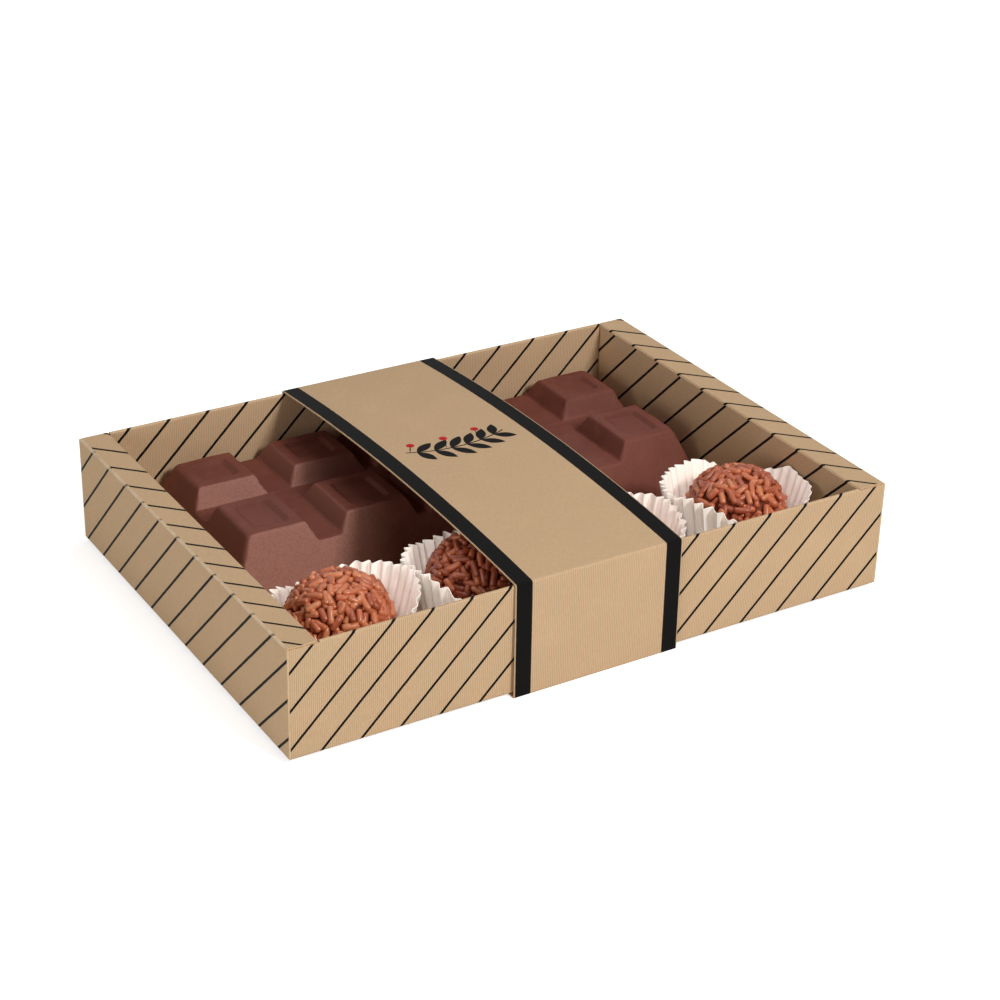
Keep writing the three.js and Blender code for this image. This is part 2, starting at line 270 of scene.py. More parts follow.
def leafShape(spot, x, y, angle, length, width):  # 1 inside a pointed leaf on the sheet
    along = spot[0] - x
    across = spot[1] - y
    turnX = math.cos(angle)
    turnY = math.sin(angle)
    far = along * turnX + across * turnY
    side = across * turnX - along * turnY
    share = far / length
    bulge = share * (1 - share) * (4 * width)
    return (bulge - abs(side)).edge(sprig["softEdge"])


def dotShape(spot, x, y, radius):
    along = spot[0] - x
    across = spot[1] - y
    distance = (along * along + across * across).root()
    return (radius - distance).edge(sprig["softDot"])


def sprigMasks(spot):  # black drawing and red dots, as shares of ink
    x = spot[0] - sprig["middle"][0]
    y = spot[1] - sprig["middle"][1]
    half = sprig["length"] / 2
    sag = sprig["sag"]

    def stemAt(place):
        return sag * ((place / half) ** 2 - 0.5)

    curve = x * x * (sag / half ** 2) - sag / 2
    onStem = (sprig["stem"] / 2 - abs(y - curve)).edge(sprig["softEdge"])
    black = onStem * (half - abs(x)).edge(sprig["softDot"])
    for number in range(sprig["leaves"]):
        leafX = -half + (number + 0.6) * sprig["length"] / (sprig["leaves"] + 0.4)
        slope = math.atan(2 * sag * leafX / half ** 2)
        size = sprig["leafLength"] * (1 - sprig["leafTaper"] * abs(number - 2))
        for side in (1, -1):
            angle = slope + side * math.radians(sprig["leafAngle"])
            black = black.most(leafShape((x, y), leafX, stemAt(leafX), angle, size, sprig["leafWidth"]))
    dots = []
    for berryX, berryY, radius in sprig["berries"]:
        rootX = berryX - sprig["stalkReach"]
        climb = berryY - stemAt(rootX)
        angle = math.atan2(climb, sprig["stalkReach"])
        reach = math.hypot(climb, sprig["stalkReach"])
        black = black.most(leafShape((x, y), rootX, stemAt(rootX), angle, reach, sprig["stalkWidth"]))
        dots.append(dotShape((x, y), berryX, berryY, radius))
    red = dots[0]
    for dot in dots[1:]:
        red = red.most(dot)
    return black, red


def kraftFinish(name, printed):
    material, start, shader = newFinish(name, {"Specular IOR Level": 0.05})
    sheet = start.sheetMap("sheet")
    along, across = sheet.axes()[:2]
    drift = sheet.cloud(0.05, 3)
    sway = sheet.cloud(0.35, 2)
    fibres = sheet.stretched(0.9, 0.16).cloud(3.1, 4, 0.65)
    grain = sheet.cloud(2.4, 4, 0.7)
    specks = sheet.cloud(1.3, 3, 0.6)
    rib = (along * (2 * math.pi / kraft["ribPitch"]) + sway * 3).sine() * 0.5 + 0.5
    colour = (fibres.rise(0.3, 0.72) * 0.55).blend(kraft["paper"], kraft["shade"])
    ribShare = rib * (drift.rise(0.2, 0.7) * 0.6 + 0.4) * kraft["ribShare"]
    colour = ribShare.blend(colour, kraft["fleck"])
    colour = (grain.rise(0.56, 0.75) * 0.35).blend(colour, kraft["bright"])
    colour = (specks.rise(0.66, 0.74) * 0.4).blend(colour, kraft["fleck"])
    colour = (drift.rise(0.35, 0.7) * 0.16).blend(colour, kraft["bright"])
    rough = fibres * 0.15 + 0.68
    if printed == "lines":
        line = start.sheetMap("print").axes()[0] + (sway - 0.5) * 0.012
        half = kraft["lineWidth"] / 2
        distance = line.maths("PINGPONG", line, 0.5)
        ink = 1 - distance.rise(half - 0.008, half + 0.008)
    elif printed == "band":
        inside = abs(along) + (sway - 0.5) * 0.1
        fromEdge = kraft["bandHalf"] - inside
        ink = (kraft["edgeStripe"] - fromEdge).edge(0.12) * (fromEdge / kraft["bareEdge"]).rise(0.7, 1.3)
        drawing, dots = sprigMasks((along, 0 - across))
        ink = ink.most(drawing)
        colour = (dots * 0.96).blend(colour, kraft["berry"])
    if printed:
        solidInk = ink * (0.997 - grain.rise(0.66, 0.8) * 0.03)
        colour = solidInk.blend(colour, kraft["ink"])
        rough = rough - ink * 0.14
    crease = start.stored("crease")
    worn = (crease * (sheet.stretched(0.5, 0.5).cloud(0.9, 4, 0.7) + 0.32)).rise(0.55, 0.85)
    colour = (worn * 0.6).blend(colour, kraft["core"])
    height = rib * 0.5 + fibres * 0.5 + grain * 0.35
    feed(shader, Base_Color=colour, Roughness=rough, Normal=height.bump(0.06 * mm, 0.55))
    return material


def cutEdgeFinish(name):  # pale core of the board, seen where it is cut
    material, start, shader = newFinish(name, {"Specular IOR Level": 0.2})
    place = start.place()
    layers = place.stretched(300, 300, 900).cloud(2.2, 3)
    stain = place.cloud(160, 3)
    colour = (layers.rise(0.3, 0.7) * 0.7).blend(kraft["paper"], kraft["shade"])
    colour = (stain.rise(0.5, 0.75) * 0.4).blend(colour, kraft["bright"])
    feed(shader, Base_Color=colour, Roughness=layers * 0.2 + 0.7, Normal=layers.bump(0.04 * mm, 0.5))
    return material


bandLow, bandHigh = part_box("belly_band")
kraft["bandHalf"] = (bandHigh.x - bandLow.x) / 2 / mm
linedKraft = kraftFinish("kraft_pinstriped", "lines")
plainKraft = kraftFinish("kraft_plain", None)
bandKraft = kraftFinish("kraft_band", "band")
cutEdge = cutEdgeFinish("kraft_cut_edge")
print("kraft: finishes made")


def foldLine(corners, radii, wear, spacing):
    # Rows across a folded strip: its middle line's two coordinates, length so far, crease wear, turn so far
    spots = [Vector(corner) for corner in corners]
    foldSteps = 5
    near = 0.8 * mm
    rows = []

    def addRow(spot, crease, turn):
        step = math.dist(rows[-1][:2], spot) if rows else 0
        if rows and step < 0.001 * mm:
            return
        travelled = rows[-1][2] + step if rows else 0
        rows.append((spot.x, spot.y, travelled, crease, turn))

    start = spots[0]
    for i in range(1, len(spots)):
        run = (spots[i] - spots[i - 1]).normalized()
        last = i == len(spots) - 1
        end = spots[i] if last else spots[i] - run * radii[i - 1]
        length = (end - start).length
        edge = min(near, length / 4)
        count = max(1, round((length - 2 * edge) / spacing))
        stops = [0, *np.linspace(edge, length - edge, count + 1), length]
        for k, stop in enumerate(stops):
            atFold = (k == 0 and i > 1) or (k == len(stops) - 1 and not last)
            fold = i - 2 if k == 0 else i - 1
            addRow(start + run * float(stop), wear[fold] / 2 if atFold else 0, (i - 1) * math.pi / 2)
        if last:
            break
        leave = (spots[i + 1] - spots[i]).normalized()
        middle = end + leave * radii[i - 1]
        for step in range(1, foldSteps):
            angle = math.pi / 2 * step / foldSteps
            spoke = run * math.sin(angle) - leave * math.cos(angle)
            addRow(middle + spoke * radii[i - 1], wear[i - 1], (i - 1) * math.pi / 2 + angle)
        start = spots[i] + leave * radii[i - 1]
    return rows


def spread(low, high, spacing, *marks):  # sorted places from low to high, with the marks among them
    stops = sorted([low, high, *[m for m in marks if low < m < high]])
    places = [low]
    for a, b in zip(stops, stops[1:]):
        count = max(1, round((b - a) / spacing))
        places.extend(a + (b - a) * (k + 1) / count for k in range(count))
    return places


def boardPiece(name, finishes, thickness, rows, columns, place, flat, kept=None, lines=None, zones=()):
    # Sheet of board: rows follow the fold line, columns the folds; the print breaks at the lengths in zones
    numbers = {}
    points = []
    spots = []
    faces = []
    faceZones = []

    def corner(i, j):
        if (i, j) not in numbers:
            numbers[(i, j)] = len(points)
            points.append(place(rows[i], columns[j]))
            spots.append((rows[i], columns[j]))
        return numbers[(i, j)]

    for i in range(len(rows) - 1):
        zone = sum((rows[i][2] + rows[i + 1][2]) / 2 > length for length in zones)
        for j in range(len(columns) - 1):
            if kept is None or kept(rows[i], rows[i + 1], (columns[j] + columns[j + 1]) / 2):
                faces.append([corner(i, j), corner(i, j + 1), corner(i + 1, j + 1), corner(i + 1, j)])
                faceZones.append(zone)
    mesh = newMesh(name, points, faces)
    if mesh.polygons[0].normal.z > 0:  # each sheet starts underneath, printed side down
        mesh.flip_normals()
    sheetMap = mesh.uv_layers.new(name="sheet")
    printMap = mesh.uv_layers.new(name="print")
    for polygon, zone in zip(mesh.polygons, faceZones):
        for k in polygon.loop_indices:
            row, along = spots[mesh.loops[k].vertex_index]
            sheetMap.data[k].uv = [value / mm for value in flat(row, along)]
            printMap.data[k].uv = (lines(row, along, zone) if lines else 0, 0)
    creases = [row[3] for row, along in spots]
    mesh.attributes.new("crease", "FLOAT", "POINT").data.foreach_set("value", creases)
    piece = addPiece(name, mesh, finishes)
    solid = piece.modifiers.new("board", "SOLIDIFY")
    solid.thickness = thickness
    solid.offset = 0
    solid.use_even_offset = True
    solid.use_quality_normals = True
    solid.material_offset = 1
    solid.material_offset_rim = 2
    settle(piece, 50)
    return piece


# Tray: walls rolled from the printed blank
tray = {
    # pinstripes on the outside, top and inside of each wall: place of one of them along the unrolled wall,
    # pitch there (mm), and growth of the pitch per stripe
    "stripes": {
        "front": [(-15.86, 12.7, 0.0083)] * 3,
        "back": [(44.71, 13.39, 0)] * 3,
        "left": [(20.25, 12.26, 0.0028), (41.37, 13.25, 0.0252), (41.37, 13.25, 0.0252)],
        "right": [(-45.34, 12.84, 0.0136), (-45.34, 12.84, 0.0136), (-46.19, 12.57, 0.0089)],
    },
    "sideWear": [0, 0, 0],  # pale wear of the folds, from the foot up
    "endWear": [0.3, 0.95, 0.4],
    "spacing": 6 * mm,  # of the mesh in the walls
    "floorSpacing": 8 * mm,
    "wave": 0.1 * mm,
    "waveReach": 45 * mm,
    "topRound": 0.98,  # share of the side walls' gap that the two folds on top take up
    "footGap": 0.02 * mm,  # between an inner layer and the floor
    "endGap": 0.3 * mm,  # between a side wall's inner layer and the end walls
    "tabHalf": 12 * mm,
    "tabPlace": 32 * mm,
    "slotPlay": 0.2 * mm,
}


def stripeCount(which, zone, along):  # pinstripes from that one to a place along the unrolled wall
    first, pitch, growth = tray["stripes"][which][zone]
    steps = (along / mm - first) / pitch
    return steps * (1 - growth / 2 * steps)


def ripple(spot, size, reach, seed):  # slow waves in a sheet, in metres
    return size * noise.noise(Vector(spot) / reach + Vector((seed, 7.3 * seed, 0)))


def wallSection(axis, sign, low, high):  # middle lines of a rolled wall's two layers, and its corners
    half = kraft["thickness"] / 2
    outer = (high[axis] if sign > 0 else -low[axis]) - half
    inner = (low[axis] if sign > 0 else -high[axis]) + half
    bottom = low.z + half
    top = high.z - half
    reach = outer + half - kraft["foldInside"] - kraft["thickness"]
    corners = [(sign * reach, bottom), (sign * outer, bottom), (sign * outer, top)]
    corners += [(sign * inner, top), (sign * inner, low.z + kraft["thickness"] + tray["footGap"])]
    return outer, inner, bottom, top, reach, corners


def bulged(row, spot, seed, sign, section):  # place across the wall, waved into its hollow
    outer, inner, bottom, top = section[:4]
    wave = ripple(spot, tray["wave"], tray["waveReach"], seed)
    fade = math.sin(math.pi * min(1, max(0, (row[1] - bottom) / (top - bottom))))
    inward = -sign if abs(row[0]) > (outer + inner) / 2 else sign
    return row[0] + inward * abs(wave) * fade


def trayPanel(node, outside, *shape):  # a panel with the finish of its outer face, and boardPiece's values
    piece = boardPiece(node + "_board", [outside, plainKraft, cutEdge], kraft["thickness"], *shape)
    join(piece, "tray", "kraft_board", node)


def sideWall(which):
    node = which + "_wall"
    low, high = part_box(node)
    side = -1 if which == "front" else 1
    half = kraft["thickness"] / 2
    section = wallSection(1, side, low, high)
    outer, inner, bottom, top, reach, corners = section
    topFold = (outer - inner) / 2 * tray["topRound"]
    radii = [kraft["foldInside"] + half, topFold, topFold]
    rows = foldLine(corners, radii, tray["sideWear"], tray["spacing"])
    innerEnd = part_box("right_end_wall")[0].x - tray["endGap"]
    columns = spread(low.x, high.x, tray["spacing"], -innerEnd, innerEnd)
    upStart = outer - reach
    turningIn = outer - 0.05 * mm  # where the top leaves the outer layer
    aboveFoot = bottom + 1 * mm

    def kept(row, nextRow, across):
        rolledOver = abs(nextRow[0]) < turningIn and nextRow[1] > aboveFoot
        return abs(across) < innerEnd or not rolledOver

    def place(row, along):
        return (along, bulged(row, (along, row[2], 0), 3 + side, side, section), row[1])

    def lines(row, along, zone):
        printed = row[2] - upStart + half * max(0, row[4] - math.pi / 2)  # on the outer face of the folds
        return stripeCount(which, zone, along + side * printed)

    def flat(row, along):
        return along, side * (outer + row[2])

    trayPanel(node, linedKraft, rows, columns, place, flat, kept, lines)


def tabEdges(half):  # where the tabs or their slots start and end, along an end wall
    return [side * tray["tabPlace"] + reach for side in (-1, 1) for reach in (-half, half)]


def endWall(which):
    node = which + "_end_wall"
    low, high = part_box(node)
    end = -1 if which == "left" else 1
    section = wallSection(0, end, low, high)
    outer, inner, bottom, top, reach, corners = section
    fold = kraft["foldInside"] + kraft["thickness"] / 2
    rows = foldLine(corners, [fold] * 3, tray["endWear"], tray["spacing"])
    upStart = outer - reach
    outerFold = upStart + top - bottom
    zones = (outerFold, outerFold + outer - inner)
    lastRow = rows[-1]
    rows.append((lastRow[0], low.z, lastRow[2] + lastRow[1] - low.z, 0, lastRow[4]))
    tabStart = lastRow[2] + 0.01 * mm
    lipHalf = high.y - kraft["thickness"]
    columns = spread(low.y, high.y, tray["spacing"], -lipHalf, lipHalf, *tabEdges(tray["tabHalf"]))
    turningIn = outer - 0.3 * mm  # part of each fold still goes the full depth of the tray

    def kept(row, nextRow, across):
        if nextRow[2] > tabStart:
            return abs(abs(across) - tray["tabPlace"]) < tray["tabHalf"]
        onOuterWall = abs(row[0]) > turningIn and abs(nextRow[0]) > turningIn
        return abs(across) < lipHalf or onOuterWall

    def place(row, along):
        return (bulged(row, (row[2], along, 0), 6 + end, end, section), along, row[1])

    def lines(row, along, zone):
        return stripeCount(which, zone, along - end * (row[2] - upStart))

    def flat(row, along):
        return end * (outer + row[2]), along

    trayPanel(node, linedKraft, rows, columns, place, flat, kept, lines, zones)


def floorPanel():
    low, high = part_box("tray_floor")
    middle = (low.z + high.z) / 2
    spacing = tray["floorSpacing"]
    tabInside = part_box("right_end_wall")[0].x
    slotIn = tabInside - tray["slotPlay"]
    slotOut = tabInside + kraft["thickness"] + tray["slotPlay"]
    slotHalf = tray["tabHalf"] + tray["slotPlay"]
    rows = [(x, middle, x, 0, 0) for x in spread(low.x, high.x, spacing, -slotOut, -slotIn, slotIn, slotOut)]
    columns = spread(low.y, high.y, spacing, *tabEdges(slotHalf))

    def kept(row, nextRow, across):
        inSlotX = slotIn < abs(row[0] + nextRow[0]) / 2 < slotOut
        return not (inSlotX and abs(abs(across) - tray["tabPlace"]) < slotHalf)

    def place(row, along):
        return (row[0], along, middle)

    def flat(row, along):
        return row[0], along

    trayPanel("tray_floor", plainKraft, rows, columns, place, flat, kept)


for which in ("front", "back"):
    sideWall(which)
for which in ("left", "right"):
    endWall(which)
floorPanel()
print("tray: rolled walls and floor made")


def flapFinish(name):  # unprinted side of the board, for the flaps inside the hollow ends
    material, start, shader = newFinish(name, {"Specular IOR Level": 0.25})
    place = start.place()
    fibres = place.stretched(300, 900, 160).cloud(3, 4, 0.65)
    colour = (fibres.rise(0.3, 0.7) * 0.6).blend(kraft["paper"], kraft["shade"])
    feed(shader, Base_Color=colour, Roughness=fibres * 0.15 + 0.7, Normal=fibres.bump(0.05 * mm, 0.5))
    return material


flapBoard = flapFinish("kraft_flap")
for nodeName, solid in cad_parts.items():
    if nodeName.endswith("corner_flap"):
        solid.data.materials.clear()
        solid.data.materials.append(flapBoard)

# Belly band: a loose loop of kraft, lapped under the tray
band = {
    "lap": 20 * mm,
    "glue": 0.1 * mm,
    "play": 0.25 * mm,
    "rise": 3.3 * mm,  # how far the slack top bows up between its folds
    "bow": 0.7 * mm,  # how far the front panel stands off at its foot
    "bowCurve": 0.7,  # below 1, it starts quickly under the top
    "bowReach": 40 * mm,  # how far that goes on under the tray
    "wave": 0.12 * mm,
    "waveReach": 50 * mm,
    "spacing": 5 * mm,  # of its mesh
    "wear": [0.3] * 4,
}


def bellyBand():
    thickness = kraft["bandThickness"]
    half = thickness / 2
    side = bandHigh.y - half
    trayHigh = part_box("back_wall")[1]
    top = trayHigh.z + band["play"] + half
    upper = thickness + band["glue"] + half
    corners = [(trayHigh.y - band["lap"], upper), (side, upper), (side, top), (-side, top), (-side, half)]
    corners.append((trayHigh.y, half))
    fold = kraft["foldInside"] + half
    rows = foldLine(corners, [fold] * 4, band["wear"], band["spacing"])
    columns = spread(bandLow.x, bandHigh.x, band["spacing"])
    middleX = (bandLow.x + bandHigh.x) / 2
    topRow = next(row for row in rows if row[1] > top - 0.01 * mm and row[0] < side - 1 * mm)
    topMiddle = topRow[2] + topRow[0]  # length along the strip, up to the middle of its top

    def place(row, along):
        y = row[0]
        z = row[1]
        if y < 0 and row[2] > topMiddle:  # the front panel, and what goes on from it underneath
            drop = min(1, max(0, (top - z) / top))
            leftShare = (bandHigh.x - along) / (bandHigh.x - bandLow.x)
            bowShare = 0.55 + 0.45 * leftShare  # fullest at the left edge
            fade = 1 if z > 2 * mm else max(0, 1 - (y + side) / band["bowReach"])
            y -= band["bow"] * drop ** band["bowCurve"] * bowShare * fade
        if z > top - fold:
            crown = max(0, 1 - (y / (side - fold)) ** 2)
            z += crown * (band["rise"] - abs(ripple((along, y, 0), band["wave"], band["waveReach"], 2)))
        return (along, y, z)

    def flat(row, along):
        return along - middleX, row[2] - topMiddle

    finishes = [bandKraft, plainKraft, cutEdge]
    piece = boardPiece("belly_band_board", finishes, thickness, rows, columns, place, flat)
    join(piece, "band", "band_board", "belly_band")


bellyBand()
print("band: folded")

# Moulded bar: a height for each spot of a grid that follows the mould's edges, in millimetres
bar = {
    "baseDraft": 5.25,  # lean of the front and the ends, up to the floor of the grooves
    "backDraft": 1.4,
    "corner": 3.0,
    # middle of each groove, as a share of the top's size from its middle, and the width of its floor
    "columnGrooves": [(-0.3307, 7.6), (-0.1192, 4), (0.0675, 4), (0.299, 17.5)],
    "rowGrooves": [(0.0317, 7.2)],
    "grooveDepth": 6.0,
    "grooveLean": 3.2,  # of the groove sides and of the blocks' outer sides
    "pocketMargin": 2.9,
    "pocketDepth": 1.0,
    "pocketLean": 2.1,
    "pocketCorner": 2.2,
    "grid": 1.0,
    "edgeSteps": (0, 0.15, 0.3, 0.45, 0.7),
    "leastStep": 0.11,
    "baseRound": 5.0,
    "cornerRound": 4.0,
    "outerRound": 1.3,
    "grooveRound": 1.0,
    "floorRound": 1.0,
    "wobble": 0.12,
    "wobbleScale": 0.16,
    "wobbleFade": 4.0,  # height over which the wobble sets in
    "weld": 0.03,  # points nearer than this become one
    "milk": paint(122, 69, 57),
    "dark": paint(106, 57, 46),
    # pale bloom, also used as painted light on the faces towards the left
    "bloomAndSideLight": paint(134, 84, 71),
    # paler colour for the faces towards the front: painted light from the front, with grain
    "paintedFrontLight": paint(180, 130, 114),
    # dark crumbs and pits, also painted shade on the pockets' sides
    "crumbAndPocketShade": paint(70, 36, 29),
}


def chocolateFinish(name):
    material, start, shader = newFinish(name, {"Specular IOR Level": 0.12})
    place = start.place()
    patches = place.cloud(38, 4, 0.6)
    haze = place.cloud(210, 5, 0.7)
    grain = place.cloud(1500, 3, 0.6)
    pits = place.node("ShaderNodeTexVoronoi", {}, {"Vector": place, "Scale": 260, "Randomness": 1})
    colour = patches.rise(0.3, 0.72).blend(bar["dark"], bar["milk"])
    colour = (haze.rise(0.45, 0.75) * 0.35).blend(colour, bar["bloomAndSideLight"])
    colour = (grain.rise(0.55, 0.72) * 0.18).blend(colour, bar["bloomAndSideLight"])
    colour = ((1 - grain.rise(0.3, 0.42)) * 0.15).blend(colour, bar["crumbAndPocketShade"])
    facing = start.node("ShaderNodeTexCoord", {}, {}, "Normal").axes()
    # where the pockets' sides are, for painted shade there and no painted light
    sunk = start.stored("sunk")
    paintedShadeFromBand = place.axes()[0].rise(-0.037, -0.02)  # painted shade: from under the band's left edge to the right end, the faces get no painted light
    # painted light on the faces towards the front, but not on the pockets' sides nor from under the band on
    paintedFrontLightShare = (0 - facing[1]).rise(0.25, 0.85) * (1 - sunk) * (1 - paintedShadeFromBand * 0.9)
    paintedFrontLightShare = paintedFrontLightShare * (grain.rise(0.32, 0.6) * 0.18 + 0.5)
    colour = paintedFrontLightShare.blend(colour, bar["paintedFrontLight"])  # painted light: faces towards the front are paler, as if lit from the front, and grained
    # painted light: the faces towards the left, left of the band, are paler
    colour = ((0 - facing[0]).rise(0.3, 0.8) * (1 - paintedShadeFromBand) * 0.9).blend(colour, bar["bloomAndSideLight"])
    # painted shade on the pockets' sides
    colour = (sunk * 0.22).blend(colour, bar["crumbAndPocketShade"])
    pit = 1 - pits.rise(0.02, 0.11)
    colour = (pit * 0.2).blend(colour, bar["crumbAndPocketShade"])
    rough = 0.42 + haze * 0.2 + paintedFrontLightShare * 0.2
    height = grain * 0.5 + haze * 0.6 - pit * 0.6
    feed(shader, Base_Color=colour, Roughness=rough, Normal=height.bump(0.12 * mm, 0.5))
    return material


def insideRounded(x, y, halfX, halfY, corner):  # distance in from a rounded rectangle's outline
    qx = np.abs(x) - (halfX - corner)
    qy = np.abs(y) - (halfY - corner)
    outside = np.hypot(np.maximum(qx, 0), np.maximum(qy, 0))
    return corner - outside - np.minimum(np.maximum(qx, qy), 0)


def softMin(first, second, width):  # the lower of two heights, with a round change from one to the other
    share = np.clip(0.5 + 0.5 * (second - first) / width, 0, 1)
    return second * (1 - share) + first * share - width * share * (1 - share)


def closeLines(half, marks):  # grid places over a width, close together beside each edge of the mould
    places = list(np.arange(-half, half, bar["grid"])) + [half]
    for mark in marks:
        places.extend(mark + step * sign for step in bar["edgeSteps"] for sign in (-1, 1))
    kept = [-half]
    for place in sorted(places):
        if place - kept[-1] > bar["leastStep"] and place <= half:
            kept.append(place)
    kept[-1] = half
    return np.array(kept)


def blockSpans(top, grooves):  # middle and width of each block along one side of the bar's top
    edges = [-top / 2]
    for share, floorWidth in grooves:
        half = floorWidth / 2 + bar["grooveLean"]
        edges.extend([share * top - half, share * top + half])
    edges.append(top / 2)
    return [((a + b) / 2, b - a) for a, b in zip(edges[::2], edges[1::2])]


def barLayout(way):  # blocks along one way of the bar, and the places of its grid
    size, firstDraft, lastDraft, grooves = way
    topMiddle = (firstDraft - lastDraft) / 2
    top = size - firstDraft - lastDraft - 2 * bar["grooveLean"]
    blocks = [(topMiddle + middle, width) for middle, width in blockSpans(top, grooves)]
    marks = [firstDraft - size / 2, size / 2 - lastDraft]
    for middle, width in blocks:
        edge = width / 2
        pocketEdge = edge - bar["pocketMargin"]
        for reach in (edge, edge + bar["grooveLean"], pocketEdge, pocketEdge - bar["pocketLean"]):
            marks.extend([middle - reach, middle + reach])
    return blocks, closeLines(size / 2, marks)


def blockHeights(x, y, ways, spans, height, inside):  # the bar's height over each spot, with its grooves
    grooveFloor = height - bar["grooveDepth"]
    lean = bar["grooveLean"]
    climb = bar["grooveDepth"] / lean
    sides = 100 * height + 0 * x  # above everything, for a start
    for place, (size, firstDraft, lastDraft, grooves) in zip((x, y), ways):
        for inward, draft in ((size / 2 + place, firstDraft), (size / 2 - place, lastDraft)):
            base = inward * grooveFloor / draft
            side = softMin(base, grooveFloor + (inward - draft) * climb, bar["baseRound"])
            sides = softMin(sides, side, bar["cornerRound"])
    sides = np.minimum(sides, np.maximum(inside, 0) * grooveFloor / bar["backDraft"])
    heights = softMin(height + 0 * x, sides, bar["outerRound"])
    for place, blocks in zip((x, y), spans):
        for (middle, width), (nextMiddle, nextWidth) in zip(blocks, blocks[1:]):
            grooveStart = middle + width / 2 + lean
            grooveEnd = nextMiddle - nextWidth / 2 - lean
            away = np.maximum(grooveStart - place, place - grooveEnd)
            side = -softMin(-grooveFloor - away * climb, -grooveFloor + 0 * x, bar["floorRound"])
            heights = softMin(heights, side, bar["grooveRound"])
    return heights


def sinkPockets(x, y, spans, heights):  # heights with the sunk tops, and where the pockets' sides are, for their painted shade
    pocketSideShade = 0 * x
    for middleX, width in spans[0]:
        for middleY, reach in spans[1]:
            halfX = width / 2 - bar["pocketMargin"]
            halfY = reach / 2 - bar["pocketMargin"]
            inPocket = insideRounded(x - middleX, y - middleY, halfX, halfY, bar["pocketCorner"])
            sunk = np.clip(inPocket / bar["pocketLean"], 0, 1)
            heights = heights - bar["pocketDepth"] * sunk * sunk * (3 - 2 * sunk)
            pocketSideShade += np.clip(2 - abs(4 * sunk - 2), 0, 1)
    return heights, pocketSideShade


def chocolateBar():
    low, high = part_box("chocolate_bar")
    length, depth, height = [(b - a) / mm for a, b in zip(low, high)]
    # along and across the bar: size, lean of the base at the first and the last side, and the grooves
    ways = [(length, bar["baseDraft"], bar["baseDraft"], bar["columnGrooves"]),
        (depth, bar["baseDraft"], bar["backDraft"], bar["rowGrooves"])]
    spans, grids = zip(*[barLayout(way) for way in ways])
    x, y = np.meshgrid(*grids, indexing="ij")
    inside = insideRounded(x, y, length / 2, depth / 2, bar["corner"])
    heights = blockHeights(x, y, ways, spans, height, inside)
    heights, pocketSideShade = sinkPockets(x, y, spans, heights)
    countX, countY = x.shape
    middle = overMiddle(low, high, low.z)
    points = []
    for i in range(countX):
        for j in range(countY):
            spot = Vector((x[i, j], y[i, j], max(0, heights[i, j])))
            if inside[i, j] < 0:  # outside the rounded corner: back on to the outline
                hubX = math.copysign(length / 2 - bar["corner"], spot.x)
                hubY = math.copysign(depth / 2 - bar["corner"], spot.y)
                hub = Vector((hubX, hubY, 0))
                spot = hub + (spot - hub).normalized() * bar["corner"]
                spot.z = 0
            fade = min(1, spot.z / bar["wobbleFade"])
            wobble = bar["wobble"] * noise.noise(spot * bar["wobbleScale"]) * fade
            points.append(middle + (spot + Vector((wobble, wobble, wobble))) * mm)
    faces = []
    for i in range(countX - 1):
        for j in range(countY - 1):
            a = i * countY + j
            faces.append((a, a + countY, a + countY + 1, a + 1))
    mesh = newMesh("chocolate_bar_moulded", points, faces)
    # the pockets' sides, for their painted shade
    mesh.attributes.new("sunk", "FLOAT", "POINT").data.foreach_set("value", pocketSideShade.ravel())
    shape = bmesh.new()
    shape.from_mesh(mesh)
    bmesh.ops.remove_doubles(shape, verts=shape.verts, dist=bar["weld"] * mm)
    rim = [edge for edge in shape.edges if edge.is_boundary]
    bmesh.ops.contextual_create(shape, geom=rim)  # the underside
    bmesh.ops.recalc_face_normals(shape, faces=shape.faces)
    shape.to_mesh(mesh)
    shape.free()
    piece = addPiece("chocolate_bar_moulded", mesh, [chocolateFinish("milk_chocolate")])
    smoothUpTo(mesh, 60)
    join(piece, "bar", "chocolate", "chocolate_bar")


chocolateBar()
print("bar: moulded")

# Sweets: a ball of paste under a coat of rod sprinkles; lengths in millimetres
sweet = {
    "coreShare": 0.9,  # of the ball's radius
    "fullness": 2.5,  # 2 is a true ball; more is flatter on top, with fuller shoulders
    "lump": 0.35,
    "lumpReach": 3.2,
    "rodLength": (3.6, 6.0),
    "rodRadius": (0.92, 1.14),
    # a rod from end to end: place along it and thickness, as shares of its length and its radius
    "rodProfile": [(-0.5, 0), (-0.485, 0.62), (-0.42, 0.95), (-0.14, 1),
        (0.14, 1), (0.42, 0.95), (0.485, 0.62), (0.5, 0)],
    "rodSides": 8,
    "rodSag": 0.1,  # bend round the ball, and how much it varies
    "sagSpread": 0.03,
    "layers": (0.1, 0.55, 0.95),  # how far the rods' middles lie above the core, in rod radii
    "tilt": 0.12,
    "layerTilt": 0.3,  # share of the tilt in the lowest layer; each layer above has one more
    "topTilt": 0.25,  # share of the tilt that the rods on top keep
    "bareFoot": -0.93,  # no rods below this share of the ball
    "footGap": 0.05,
    "tries": 4500,
    "room": 0.8,  # least distance between two rods of one layer, in rod diameters
    "roomPlaces": (-0.38, 0, 0.38),  # where on a rod that is measured
    "seed": 40,
    "rodToneAndShade": {1: 0.7, 2: 2.4, 3: 1.5, 4: 1.8},  # above 1, more of that sweet's rods are dark, below 1 fewer; on sweet 2, under the band, that is painted shade
    "paste": paint(92, 42, 26),
    "pasteLit": paint(124, 62, 38),
    "rod": paint(201, 110, 69),
    "rodDark": paint(164, 78, 47),
    "rodPale": paint(217, 138, 93),
}


